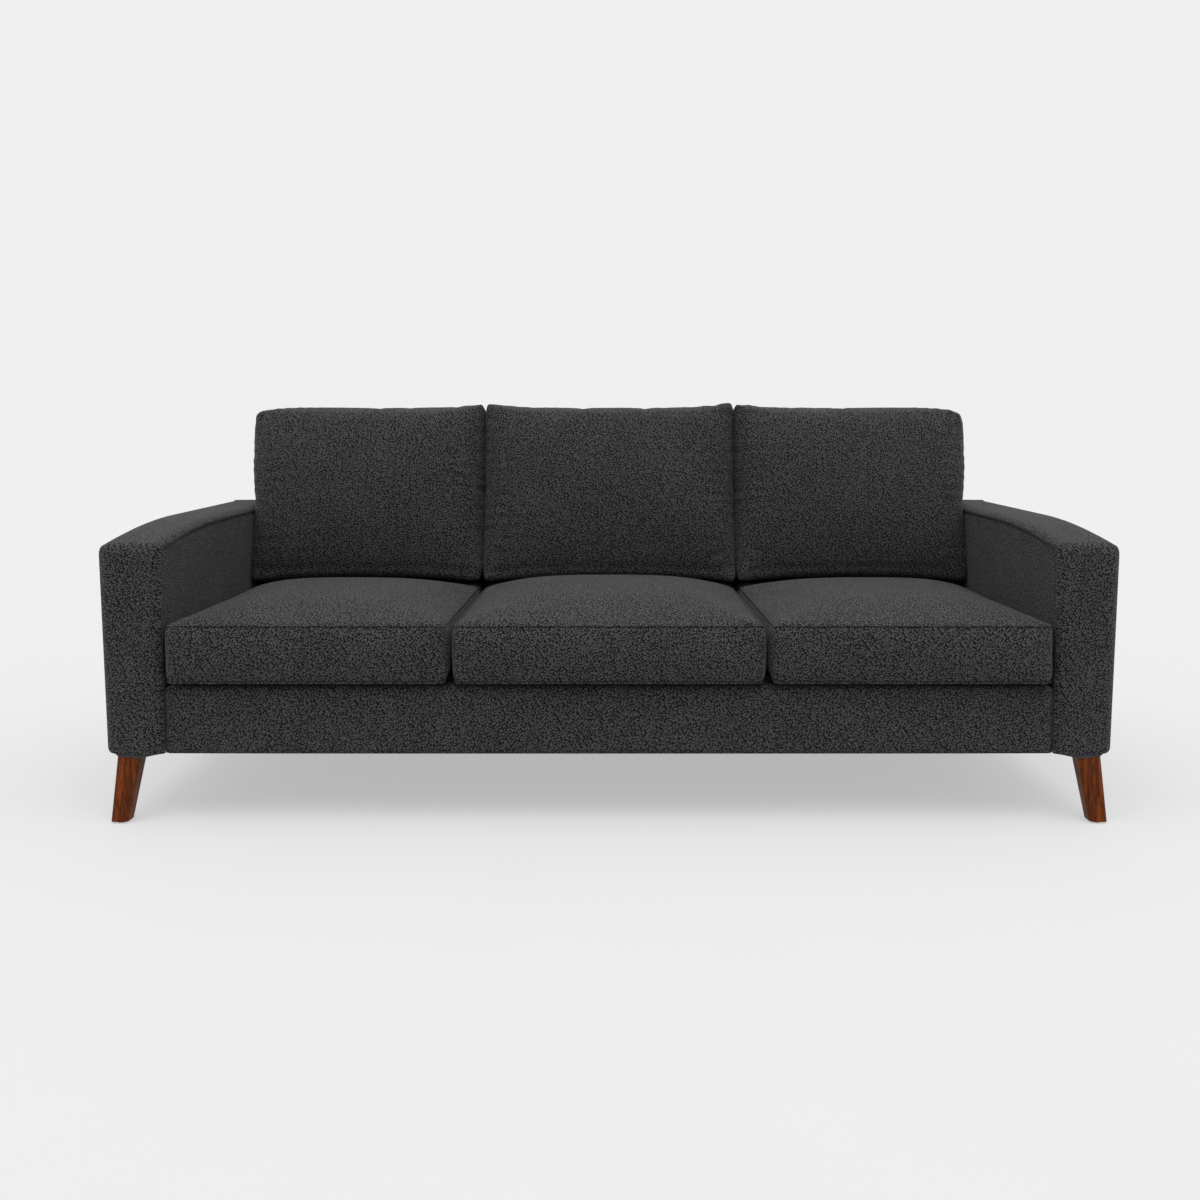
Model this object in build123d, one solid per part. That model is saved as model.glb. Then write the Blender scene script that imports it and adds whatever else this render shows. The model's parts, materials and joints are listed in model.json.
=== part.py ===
from build123d import *
import os
from math import cos, radians, sqrt, tan

# A three-seat sofa with six loose cushions, a padded hardwood frame and four splayed wooden legs.
# Millimetres. X runs along the sofa, Y from its front to its back, and Z up.
# The origin is on the floor, under the middle of the sofa.
# Left and right are as seen by somebody who faces the sofa: left is -X.

# Whole sofa
WIDTH = 2200
DEPTH = 910
BACK = DEPTH / 2
CUSHION_FRONT = -DEPTH / 2
BODY_FRONT = CUSHION_FRONT + 20
BODY_BOTTOM = 150
SIDES = ("left", "right")

# Arms: the top rises in one long arc from the front and then runs level to the back
ARM_TOP = 636
ARM_FRONT_TOP = 604
ARM_CURVE_END = -45
ARM_CORNER_RADIUS = 18
ARM_INNER = 966
ARM_FLARE = 12
ARM_PADDING = 14
ARM_PANEL = 6
ARM_INSIDE_BOTTOM = 290
ARM_INSIDE_BACK = 340
ARM_RADIUS = ((ARM_CURVE_END - BODY_FRONT) ** 2 + (ARM_TOP - ARM_FRONT_TOP) ** 2) / (
    2 * (ARM_TOP - ARM_FRONT_TOP)
)

# Wooden frame
FRAME_INNER = ARM_INNER + 15
FRAME_FRONT = BODY_FRONT + ARM_PADDING
FRAME_BACK = BACK - 5
FRAME_BOTTOM = BODY_BOTTOM + 6
RAIL_FRONT = BODY_FRONT + 20
RAIL_THICKNESS = 27
FRONT_RAIL_TOP = 280
SIDE_RAIL_TOP = 300
SIDE_RAIL_OUTER = 1073
SIDE_RAIL_THICKNESS = 25
BLOCK_TOP = FRAME_BOTTOM + 47
BLOCK_OUTER = 1074
BLOCK_LENGTH = 90
POST_BACK_FRONT = 405
TOP_RAIL_THICKNESS = 20
TOP_RAIL_OUTER = 1084
BACK_TOP_RAIL_FRONT = 380.3
BACK_TOP_RAIL_HEIGHT = 37
UPRIGHT_X = 322
UPRIGHT_WIDTH = 45
STRETCHER_HEIGHT = 50
STRETCHER_TOP = 250
TACK_RAIL_THICKNESS = 19
TACK_RAIL_BOTTOM = 300
TACK_RAIL_TOP = 345

# Seat suspension and the straps behind the inside back
SEAT_PITCH = 1.2  # degrees, down towards the back
SPRING_WIRE_RADIUS = 2
SPRING_RUNS = 24
SPRING_HALF_RUN = 14
SPRINGS_PER_SEAT = 4
SPRING_SPACING = 140
SPRING_FRONT = -401
SPRING_BACK = 436
CLIP_WIDTH = 12
CLIP_BASE = 22
CLIP_METAL = 1
CLIP_CLEARANCE = 0.05
STRAP_COUNT = 9
STRAP_PITCH = 208
STRAP_WIDTH = 60
STRAP_THICKNESS = 2
STRAP_BOTTOM = 308
STRAP_TOP = 612
STRAP_LEAN = 0.15
STRAP_BACK_AT_TACK_RAIL = 340

# Covers over the frame
PANEL_GAP = 1
COVER_FRONT = BODY_FRONT + 8
COVER_TOP = 297
COVER_WRAP = 10
COVER_WRAP_BACK = -375
COVER_CORNER_RADIUS = 10
DECK_TOP_AT_FRONT = 309
DECK_THICKNESS = 20
DECK_BACK = 310
INSIDE_BACK_THICKNESS = 18
INSIDE_BACK_FOOT = (315, 318)
INSIDE_BACK_HEAD = (355, ARM_TOP)
INSIDE_BACK_WRAP = ARM_PADDING
DUST_COVER_THICKNESS = 2
DUST_COVER_HALF_WIDTH = 1070

# Legs: a rounded square section that tapers along an axis splayed outwards
LEG_MIDDLE_Y = 4
LEG_TOP = (1045, LEG_MIDDLE_Y - 412, BODY_BOTTOM - 10)
LEG_FOOT = (1062, LEG_MIDDLE_Y - 429, 4)
LEG_TOP_SIZE = 50
LEG_TOP_ROUNDING = 12
LEG_FOOT_SIZE = 38
LEG_FOOT_ROUNDING = 9
LEG_OVERRUN = 12
GLIDE_RADIUS = 11
GLIDE_PIN_RADIUS = 1.5
GLIDE_PIN_LENGTH = 14

# Angled leg plates and their fasteners
PLATE_X = (972, 1074)
PLATE_Y = (BODY_FRONT + 15, BODY_FRONT + 99)
PLATE_TOP = FRAME_BOTTOM - DUST_COVER_THICKNESS
PLATE_LIP = BODY_BOTTOM - 0.5
WEDGE_Y = (BODY_FRONT + 1, BODY_FRONT + 97)
WEDGE_ROUNDING = 10
WEDGE_FOOT_SIZE = 54
BOLT_RADIUS = 4
BOLT_IN_LEG = 42
BOLT_IN_BLOCK = 46
SCREW_PLACES = (
    (993, BODY_FRONT + 36),
    (993, BODY_FRONT + 88),
    (1053, BODY_FRONT + 88),
)
SCREW_RADIUS = 2
SCREW_HEAD_RADIUS = 4.5
SCREW_HEAD_HEIGHT = 2.6
SCREW_SEAT = BODY_BOTTOM + 1.5
SCREW_TIP = SCREW_SEAT + 33
HOLE_CLEARANCE = 0.05
HEAD_CLEARANCE = 1

# Cushions: (name, middle X, width)
SEAT_CUSHIONS = (("left", -652, 612), ("middle", 0, 680), ("right", 652, 612))
SEAT_BOTTOM = DECK_TOP_AT_FRONT + 1
SEAT_DEPTH = 758
SEAT_THICKNESS = 124
SEAT_CROWN = 43
BACK_CUSHIONS = (("left", -654.5, 621), ("middle", 0, 680), ("right", 654.5, 621))
BACK_CUSHION_FOOT = (310, 430)
BACK_CUSHION_HEIGHT = 455
BACK_CUSHION_THICKNESS = 150
BACK_CUSHION_CROWN = 35
BACK_CUSHION_LEAN = 11.5  # degrees from upright
CUSHION_CORNER_RADIUS = 14
CUSHION_EDGE_RADIUS = 9
STEEPER_CROWN = 8  # from front to back the crown rises a little more than from side to side
ROUNDER_EDGE = 1
COVER_THICKNESS = 2
FILL_INSET = 3

# Zips
ZIP_MARGIN = 60
TAPE_WIDTH = 26
TAPE_THICKNESS = 0.8
TEETH_WIDTH = 6
TEETH_HEIGHT = 1.6
SLIDER_LENGTH = 9
SLIDER_WIDTH = 10
SLIDER_CLEARANCE = 0.3
SLIDER_ROOF = 1.6
SLIDER_END_GAP = 4
BRIDGE_WIDTH = 2
BRIDGE_HEIGHT = 1.4
PULL_LENGTH = 24
PULL_WIDTH = 6
PULL_THICKNESS = 1.2


# ---- helpers ----


def block(x, y, z):
    """A box between pairs of limits, given in any order."""
    (x0, x1), (y0, y1), (z0, z1) = sorted(x), sorted(y), sorted(z)
    return Pos(x0, y0, z0) * Box(x1 - x0, y1 - y0, z1 - z0, align=(Align.MIN,) * 3)


def polygon(*points):
    """A flat face with straight edges."""
    return make_face(Polyline(*points, close=True))


def along_x(outline, x):
    """A (Y, Z) outline extruded between two X values."""
    x0, x1 = sorted(x)
    return extrude(Plane.YZ.offset(x0) * outline, x1 - x0)


def along_y(outline, y):
    """An (X, Z) outline extruded between two Y values."""
    y0, y1 = sorted(y)
    return extrude(Plane.XZ.offset(-y0) * outline, y0 - y1)


def group(parts):
    """Separate solids in one sub-part."""
    return Compound([solid for part in parts for solid in part.solids()])


def mirrored_x(shape):
    return mirror(shape, Plane.YZ)


def on_side(side, shape):
    """A right-hand shape, or its mirror image on the left."""
    return shape if side == "right" else mirrored_x(shape)


def at_corners(shape):
    """The front right shape and its mirror images at the other three corners."""
    rear = mirror(shape, Plane.XZ.offset(-LEG_MIDDLE_Y))
    return {
        "front_right": shape,
        "front_left": mirrored_x(shape),
        "rear_right": rear,
        "rear_left": mirrored_x(rear),
    }


# ---- arms ----


def arm_outer_x(z):
    """X of the arm's outer face, which flares a little towards the top."""
    return WIDTH / 2 - ARM_FLARE * (ARM_TOP - z) / (ARM_TOP - BODY_BOTTOM)


def arm_top_z(y, inset):
    """Height of the arm's top surface, or of a surface at some depth under it."""
    run = max(ARM_CURVE_END - y, 0)
    return ARM_TOP - ARM_RADIUS + sqrt((ARM_RADIUS - inset) ** 2 - run**2)


def arm_side(inset, front, back, bottom):
    """The arm's (Y, Z) outline under its top curve, at some depth under the surface."""
    middle = (front + ARM_CURVE_END) / 2
    level = ARM_TOP - inset
    curve = ThreePointArc(
        (front, arm_top_z(front, inset)),
        (middle, arm_top_z(middle, inset)),
        (ARM_CURVE_END, level),
    )
    rest = Polyline(
        (ARM_CURVE_END, level), (back, level), (back, bottom), (front, bottom), curve @ 0
    )
    return make_face(curve + rest)


def arm_section(inner, outer_inset, bottom, top):
    """The arm's (X, Z) outline, whose outer side follows the flare."""
    return polygon(
        (inner, bottom),
        (arm_outer_x(bottom) - outer_inset, bottom),
        (arm_outer_x(top) - outer_inset, top),
        (inner, top),
    )


def arm_band():
    """One padded strip over the front and the top of the arm."""
    whole = along_x(arm_side(0, BODY_FRONT, FRAME_BACK, BODY_BOTTOM), (ARM_INNER, WIDTH / 2))
    top_corner = whole.edges().filter_by(Axis.X).sort_by(Axis.Y)[:2].sort_by(Axis.Z)[-1]
    whole = fillet(top_corner, ARM_CORNER_RADIUS)
    inside = along_x(
        arm_side(ARM_PADDING, FRAME_FRONT, BACK, 0), (ARM_INNER - PANEL_GAP, WIDTH)
    )
    envelope = along_y(arm_section(ARM_INNER, 0, BODY_BOTTOM, ARM_TOP), (BODY_FRONT, BACK))
    return (whole - inside) & envelope


def arm_inside():
    """The padded panel that faces the seat."""
    outline = arm_side(ARM_PADDING, FRAME_FRONT, ARM_INSIDE_BACK, ARM_INSIDE_BOTTOM)
    return along_x(outline, (ARM_INNER, FRAME_INNER))


def arm_outside():
    """The thin panel on the arm's outer side."""
    panel = arm_section(0, 0, BODY_BOTTOM, ARM_TOP) - arm_section(
        0, ARM_PANEL, BODY_BOTTOM, ARM_TOP
    )
    under_band = along_x(arm_side(ARM_PADDING, FRAME_FRONT, FRAME_BACK, BODY_BOTTOM), (0, WIDTH))
    return along_y(panel, (FRAME_FRONT, FRAME_BACK)) & under_band


# ---- wooden frame ----


def arm_post():
    """The post under the front of the arm, which leans with the outer face."""
    section = along_y(
        arm_section(FRAME_INNER, ARM_PADDING, BLOCK_TOP, ARM_TOP),
        (FRAME_FRONT, RAIL_FRONT + RAIL_THICKNESS),
    )
    depth_under_top = ARM_PADDING + TOP_RAIL_THICKNESS
    return section & along_x(arm_side(depth_under_top, FRAME_FRONT, BACK, 0), (0, WIDTH))


def arm_top_rail():
    """The curved rail under the arm's top."""
    upper = arm_side(ARM_PADDING, FRAME_FRONT, FRAME_BACK, BLOCK_TOP)
    lower = arm_side(ARM_PADDING + TOP_RAIL_THICKNESS, FRAME_FRONT, FRAME_BACK, BLOCK_TOP)
    return along_x(upper - lower, (FRAME_INNER, TOP_RAIL_OUTER))


def side_rail():
    """The deep rail along the bottom of the arm, notched over the corner blocks."""
    ends = (RAIL_FRONT + RAIL_THICKNESS, POST_BACK_FRONT)
    x = (SIDE_RAIL_OUTER - SIDE_RAIL_THICKNESS, SIDE_RAIL_OUTER)
    rail = block(x, ends, (FRAME_BOTTOM, SIDE_RAIL_TOP))
    for y in corner_block_limits():
        rail -= block((0, WIDTH), y, (0, BLOCK_TOP))
    return rail


def corner_block_limits():
    """Front and back Y of the front and the rear corner blocks."""
    return (
        (FRAME_FRONT, FRAME_FRONT + BLOCK_LENGTH),
        (2 * LEG_MIDDLE_Y - FRAME_FRONT - BLOCK_LENGTH, FRAME_BACK),
    )


def corner_blocks():
    holes = [hole for shape in leg_holes() for hole in at_corners(shape).values()]
    x = (FRAME_INNER, BLOCK_OUTER)
    blocks = []
    for y in corner_block_limits():
        right = block(x, y, (FRAME_BOTTOM, BLOCK_TOP))
        blocks += [right, mirrored_x(right)]
    return group([corner - holes for corner in blocks])


def front_rail():
    y = (RAIL_FRONT, RAIL_FRONT + RAIL_THICKNESS)
    return block((-FRAME_INNER, FRAME_INNER), y, (FRAME_BOTTOM, FRONT_RAIL_TOP))


def rear_rail_top():
    """The rear rail is lower than the front rail, by the seat's pitch."""
    return FRONT_RAIL_TOP - tan(radians(SEAT_PITCH)) * (SPRING_BACK - SPRING_FRONT)


def rear_rail():
    y = (FRAME_BACK - RAIL_THICKNESS, FRAME_BACK)
    return block((-FRAME_INNER, FRAME_INNER), y, (FRAME_BOTTOM, rear_rail_top()))


def seat_stretchers():
    """Two boards from front to back, under the springs."""
    y = (RAIL_FRONT + RAIL_THICKNESS, FRAME_BACK - RAIL_THICKNESS)
    z = (STRETCHER_TOP - STRETCHER_HEIGHT, STRETCHER_TOP)
    half = RAIL_THICKNESS / 2
    right = block((UPRIGHT_X - half, UPRIGHT_X + half), y, z)
    return group([right, mirrored_x(right)])


def back_posts():
    z = (BLOCK_TOP, ARM_TOP - ARM_PADDING - TOP_RAIL_THICKNESS)
    right = block((FRAME_INNER, SIDE_RAIL_OUTER), (POST_BACK_FRONT, FRAME_BACK), z)
    return group([right, mirrored_x(right)])


def back_top_rail_limits():
    """Bottom and top Z of the rail along the top of the back."""
    top = ARM_TOP - INSIDE_BACK_WRAP
    return (top - BACK_TOP_RAIL_HEIGHT, top)


def back_top_rail():
    x = (-FRAME_INNER, FRAME_INNER)
    return block(x, (BACK_TOP_RAIL_FRONT, FRAME_BACK), back_top_rail_limits())


def back_uprights():
    half = UPRIGHT_WIDTH / 2
    z = (rear_rail_top(), back_top_rail_limits()[0])
    y = (FRAME_BACK - RAIL_THICKNESS, FRAME_BACK)
    right = block((UPRIGHT_X - half, UPRIGHT_X + half), y, z)
    return group([right, mirrored_x(right)])


def tack_rails():
    """Thin rails that the inside panels and the straps are fixed to."""
    z = (TACK_RAIL_BOTTOM, TACK_RAIL_TOP)
    ends = (RAIL_FRONT + RAIL_THICKNESS, POST_BACK_FRONT)
    right = block((FRAME_INNER, FRAME_INNER + TACK_RAIL_THICKNESS), ends, z)
    back_y = (STRAP_BACK_AT_TACK_RAIL, STRAP_BACK_AT_TACK_RAIL + TACK_RAIL_THICKNESS)
    return group([right, mirrored_x(right), block((-FRAME_INNER, FRAME_INNER), back_y, z)])


# ---- suspension ----


def spring_places():
    """Middle X of each zigzag spring."""
    across = (SPRINGS_PER_SEAT - 1) / 2
    return [
        middle + (i - across) * SPRING_SPACING
        for _, middle, _ in SEAT_CUSHIONS
        for i in range(SPRINGS_PER_SEAT)
    ]


def spring_plane():
    """The pitched plane that the springs lie in, with its origin at the front clips."""
    height = FRONT_RAIL_TOP + CLIP_METAL + CLIP_CLEARANCE + SPRING_WIRE_RADIUS
    return Plane((0, SPRING_FRONT, height)).rotated((-SEAT_PITCH, 0, 0))


def zigzag():
    """One flat zigzag spring: straight runs across, joined by half circles."""
    length = (SPRING_BACK - SPRING_FRONT) / cos(radians(SEAT_PITCH))
    pitch = length / (SPRING_RUNS - 1)
    edges = []
    for i in range(SPRING_RUNS):
        side = 1 if i % 2 == 0 else -1
        start = (-side * SPRING_HALF_RUN, i * pitch)
        end = (side * SPRING_HALF_RUN, i * pitch)
        edges.append(Line(start, end))
        if i < SPRING_RUNS - 1:
            bulge = (side * (SPRING_HALF_RUN + pitch / 2), (i + 0.5) * pitch)
            edges.append(ThreePointArc(end, bulge, (end[0], (i + 1) * pitch)))
    path = Wire(edges)
    section = Plane(origin=path @ 0, z_dir=path % 0) * Circle(SPRING_WIRE_RADIUS)
    return sweep(section, path)


def seat_springs():
    spring = spring_plane() * zigzag()
    return group([Pos(x, 0, 0) * spring for x in spring_places()])


def spring_clips():
    """A folded metal loop round each spring's first and last run."""
    hole = SPRING_WIRE_RADIUS + CLIP_CLEARANCE
    loop = Circle(hole + CLIP_METAL)
    base = Pos(0, CLIP_METAL / 2 - hole - CLIP_METAL) * Rectangle(CLIP_BASE, CLIP_METAL)
    outline = loop + base - Circle(hole)
    clip = along_x(outline, (-CLIP_WIDTH / 2, CLIP_WIDTH / 2))
    lift = hole + CLIP_METAL
    ends = ((SPRING_FRONT, FRONT_RAIL_TOP + lift), (SPRING_BACK, rear_rail_top() + lift))
    return group([Pos(x, y, z) * clip for x in spring_places() for y, z in ends])


def back_webbing():
    """Upright straps from the back tack rail to the top rail."""

    def back_y(z):
        return STRAP_BACK_AT_TACK_RAIL + (z - TACK_RAIL_TOP) * STRAP_LEAN

    outline = polygon(
        (back_y(STRAP_BOTTOM), STRAP_BOTTOM),
        (back_y(STRAP_TOP), STRAP_TOP),
        (back_y(STRAP_TOP) - STRAP_THICKNESS, STRAP_TOP),
        (back_y(STRAP_BOTTOM) - STRAP_THICKNESS, STRAP_BOTTOM),
    )
    strap = along_x(outline, (-STRAP_WIDTH / 2, STRAP_WIDTH / 2))
    first = -(STRAP_COUNT - 1) / 2
    return group([Pos((first + i) * STRAP_PITCH, 0, 0) * strap for i in range(STRAP_COUNT)])


# ---- covers over the frame ----


def panel_x():
    """The two ends of every cover that fills the space between the arms."""
    return (-ARM_INNER + PANEL_GAP, ARM_INNER - PANEL_GAP)


def front_rail_cover():
    """The padded cover on the front rail, with a short lap over its top."""
    outline = polygon(
        (COVER_FRONT, BODY_BOTTOM),
        (COVER_FRONT, COVER_TOP),
        (COVER_WRAP_BACK, COVER_TOP),
        (COVER_WRAP_BACK, COVER_TOP - COVER_WRAP),
        (RAIL_FRONT, COVER_TOP - COVER_WRAP),
        (RAIL_FRONT, BODY_BOTTOM),
    )
    corner = outline.vertices().sort_by_distance((COVER_FRONT, COVER_TOP, 0))[0]
    return along_x(fillet(corner, COVER_CORNER_RADIUS), panel_x())


def deck_top(y):
    return DECK_TOP_AT_FRONT - tan(radians(SEAT_PITCH)) * (y - CUSHION_FRONT)


def seat_deck():
    """The padded deck under the seat cushions."""
    ends = (COVER_WRAP_BACK, DECK_BACK)
    top = [(y, deck_top(y)) for y in ends]
    bottom = [(y, deck_top(y) - DECK_THICKNESS) for y in reversed(ends)]
    return along_x(polygon(*top, *bottom), panel_x())


def inside_back():
    """The leaning panel behind the back cushions, lapped over the top rail."""
    foot_y, foot_z = INSIDE_BACK_FOOT
    head_y, head_z = INSIDE_BACK_HEAD
    lean = (head_y - foot_y) / (head_z - foot_z)
    under_wrap = head_z - INSIDE_BACK_WRAP
    outline = polygon(
        INSIDE_BACK_FOOT,
        INSIDE_BACK_HEAD,
        (FRAME_BACK, head_z),
        (FRAME_BACK, under_wrap),
        (head_y + INSIDE_BACK_THICKNESS - lean * INSIDE_BACK_WRAP, under_wrap),
        (foot_y + INSIDE_BACK_THICKNESS, foot_z),
    )
    corner = outline.vertices().sort_by_distance((*INSIDE_BACK_HEAD, 0))[0]
    return along_x(fillet(corner, COVER_CORNER_RADIUS), panel_x())


def outside_back():
    """The thin panel across the whole back."""
    right = arm_section(0, 0, BODY_BOTTOM, ARM_TOP)
    half = along_y(right, (FRAME_BACK, BACK))
    return half + mirrored_x(half)


def dust_cover():
    """The cloth under the frame, with holes for the leg fasteners."""
    cloth = block(
        (-DUST_COVER_HALF_WIDTH, DUST_COVER_HALF_WIDTH),
        (RAIL_FRONT, FRAME_BACK - PANEL_GAP),
        (PLATE_TOP, FRAME_BOTTOM),
    )
    return cloth - [hole for shape in leg_holes() for hole in at_corners(shape).values()]


# ---- legs ----


def leg_plane(distance):
    """A plane square to the leg's axis, at a distance down from the leg's top."""
    down = (Vector(LEG_FOOT) - Vector(LEG_TOP)).normalized()
    return Plane(Vector(LEG_TOP) + down * distance, x_dir=(1, 0, 0), z_dir=-down)


def leg_length():
    return (Vector(LEG_FOOT) - Vector(LEG_TOP)).length


def rounded_square(size, rounding):
    return RectangleRounded(size, size, rounding)


def axis_rod(radius, below, above):
    """A rod on the leg's axis, from below the leg's top to above it."""
    return extrude(leg_plane(below) * Circle(radius), below + above)


def leg():
    """One tapered leg, cut level above its glide."""
    length = leg_length()
    taper = (LEG_TOP_SIZE - LEG_FOOT_SIZE) / length
    foot_size = LEG_FOOT_SIZE - taper * LEG_OVERRUN
    body = loft(
        [
            leg_plane(length + LEG_OVERRUN) * rounded_square(foot_size, LEG_FOOT_ROUNDING),
            leg_plane(0) * rounded_square(LEG_TOP_SIZE, LEG_TOP_ROUNDING),
        ]
    )
    x, y, z = LEG_FOOT
    below = Box(LEG_TOP_SIZE * 2, LEG_TOP_SIZE * 2, z * 2 + LEG_OVERRUN)
    body -= Pos(x, y, -LEG_OVERRUN / 2) * below
    body -= axis_rod(BOLT_RADIUS + HOLE_CLEARANCE, BOLT_IN_LEG + 1, LEG_TOP_SIZE)
    pin_hole = (0, z + GLIDE_PIN_LENGTH + 1)
    body -= upright_rod((x, y), GLIDE_PIN_RADIUS + HOLE_CLEARANCE, pin_hole)
    return body


def upright_rod(place, radius, z):
    bottom, top = z
    return extrude(Pos(place[0], place[1], bottom) * Circle(radius), top - bottom)


def glide():
    """A round foot with a pin that is driven into the leg."""
    x, y, z = LEG_FOOT
    pin = upright_rod((x, y), GLIDE_PIN_RADIUS, (0, z + GLIDE_PIN_LENGTH))
    return upright_rod((x, y), GLIDE_RADIUS, (0, z)) + pin


def leg_plate():
    """The metal wedge that sets the leg's splay, with a flat flange for three screws."""
    (x0, x1), (y0, y1) = PLATE_X, WEDGE_Y
    lip = Pos((x0 + x1) / 2, (y0 + y1) / 2, PLATE_LIP) * RectangleRounded(
        x1 - x0, y1 - y0, WEDGE_ROUNDING
    )
    wedge = loft([leg_plane(0) * rounded_square(WEDGE_FOOT_SIZE, LEG_TOP_ROUNDING), lip])
    plate = wedge + block(PLATE_X, PLATE_Y, (PLATE_LIP, PLATE_TOP))
    plate -= axis_rod(BOLT_RADIUS + HOLE_CLEARANCE, LEG_TOP_SIZE, LEG_TOP_SIZE)
    for place in SCREW_PLACES:
        plate -= upright_rod(place, SCREW_RADIUS + HOLE_CLEARANCE, (0, BLOCK_TOP))
        plate -= upright_rod(place, SCREW_HEAD_RADIUS + HEAD_CLEARANCE, (0, SCREW_SEAT))
    return plate


def leg_holes():
    """Rods that cut the holes for one leg's bolt and plate screws."""
    bolt = axis_rod(BOLT_RADIUS + HOLE_CLEARANCE, BOLT_IN_LEG, BOLT_IN_BLOCK + 1)
    screws = [
        upright_rod(place, SCREW_RADIUS + HOLE_CLEARANCE, (0, SCREW_TIP + 1))
        for place in SCREW_PLACES
    ]
    return [bolt, *screws]


def leg_bolt():
    return axis_rod(BOLT_RADIUS, BOLT_IN_LEG, BOLT_IN_BLOCK)


def plate_screws():
    """The three screws of one leg plate."""
    screws = []
    for place in SCREW_PLACES:
        head = upright_rod(place, SCREW_HEAD_RADIUS, (SCREW_SEAT - SCREW_HEAD_HEIGHT, SCREW_SEAT))
        screws.append(head + upright_rod(place, SCREW_RADIUS, (SCREW_SEAT, SCREW_TIP)))
    return Compound(screws)


# ---- cushions ----


def crowned(u, v, crown, radius):
    """A rectangle with round corners, whose upper edge rises in an arc."""
    (u0, u1), (v0, v1) = u, v
    lower = Polyline((u0, v1), (u0, v0), (u1, v0), (u1, v1))
    upper = ThreePointArc((u1, v1), ((u0 + u1) / 2, v1 + crown), (u0, v1))
    outline = make_face(lower + upper)
    return fillet(outline.vertices(), radius)


def cushion_form(width, length, thickness, crown, inset):
    """A cushion lying flat: crowned on top, with its front edge along the X axis."""
    x = (inset - width / 2, width / 2 - inset)
    y = (inset, length - inset)
    z = (inset, thickness - inset)
    radius = CUSHION_EDGE_RADIUS - inset
    plan = RectangleRounded(width - 2 * inset, length - 2 * inset, CUSHION_CORNER_RADIUS - inset)
    upright = extrude(Pos(0, length / 2, -thickness) * plan, 3 * thickness)
    side_view = along_x(crowned(y, z, crown + STEEPER_CROWN, radius), (-width, width))
    front_view = along_y(crowned(x, z, crown, radius + ROUNDER_EDGE), (-length, 2 * length))
    return upright & side_view & front_view


def cushion_parts(width, length, thickness, crown):
    """A cushion's cover, which is a closed shell, and the filling inside it."""
    size = (width, length, thickness, crown)
    cover = cushion_form(*size, 0) - cushion_form(*size, COVER_THICKNESS)
    return cover, cushion_form(*size, FILL_INSET)


def zip_tape(width):
    """Tape with a raised row of teeth, on the XY plane and along X."""
    length = width - 2 * ZIP_MARGIN
    low = (Align.CENTER, Align.CENTER, Align.MIN)
    teeth = Pos(0, 0, TAPE_THICKNESS) * Box(length, TEETH_WIDTH, TEETH_HEIGHT, align=low)
    return Box(length, TAPE_WIDTH, TAPE_THICKNESS, align=low) + teeth


def zip_slider(width):
    """A slider that straddles the teeth at the closed end, with its pull lying flat."""
    low = (Align.CENTER, Align.CENTER, Align.MIN)
    floor = TAPE_THICKNESS + SLIDER_CLEARANCE
    channel_top = TAPE_THICKNESS + TEETH_HEIGHT + SLIDER_CLEARANCE
    roof = channel_top + SLIDER_ROOF
    body = Pos(0, 0, floor) * Box(SLIDER_LENGTH, SLIDER_WIDTH, roof - floor, align=low)
    body = fillet(body.edges().filter_by(Axis.Z), BRIDGE_WIDTH)
    channel = Box(
        SLIDER_LENGTH, TEETH_WIDTH + 2 * SLIDER_CLEARANCE, channel_top, align=low
    )
    bridge = Pos(0, 0, roof) * Box(SLIDER_LENGTH / 2, BRIDGE_WIDTH, BRIDGE_HEIGHT, align=low)
    pull = Pos((PULL_LENGTH - SLIDER_LENGTH) / 2, 0, roof + BRIDGE_HEIGHT) * extrude(
        RectangleRounded(PULL_LENGTH, PULL_WIDTH, BRIDGE_WIDTH), PULL_THICKNESS
    )
    rest_x = -width / 2 + ZIP_MARGIN + SLIDER_LENGTH / 2 + SLIDER_END_GAP
    return Pos(rest_x, 0, 0) * (body - channel + bridge + pull)


def seat_cushion(middle, width):
    """One seat cushion's sub-parts in place, with the zip on its back."""
    place = Pos(middle, CUSHION_FRONT, SEAT_BOTTOM) * Rot(-SEAT_PITCH, 0, 0)
    zip_place = place * Pos(0, SEAT_DEPTH, SEAT_THICKNESS / 2) * Rot(-90, 0, 0)
    cover, core = cushion_parts(width, SEAT_DEPTH, SEAT_THICKNESS, SEAT_CROWN)
    return {
        "cover": place * cover,
        "core": place * core,
        "zip": zip_place * zip_tape(width),
        "zip_slider": zip_place * zip_slider(width),
    }


def back_cushion(middle, width):
    """One back cushion's sub-parts in place, with the zip underneath."""
    stand_up = 90 - BACK_CUSHION_LEAN
    place = Pos(middle, *BACK_CUSHION_FOOT) * Rot(stand_up, 0, 0)
    zip_place = place * Pos(0, 0, BACK_CUSHION_THICKNESS / 2) * Rot(90, 0, 0)
    cover, filling = cushion_parts(
        width, BACK_CUSHION_HEIGHT, BACK_CUSHION_THICKNESS, BACK_CUSHION_CROWN
    )
    return {
        "cover": place * cover,
        "filling": place * filling,
        "zip": zip_place * zip_tape(width),
        "zip_slider": zip_place * zip_slider(width),
    }


# ---- the whole sofa ----


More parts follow.
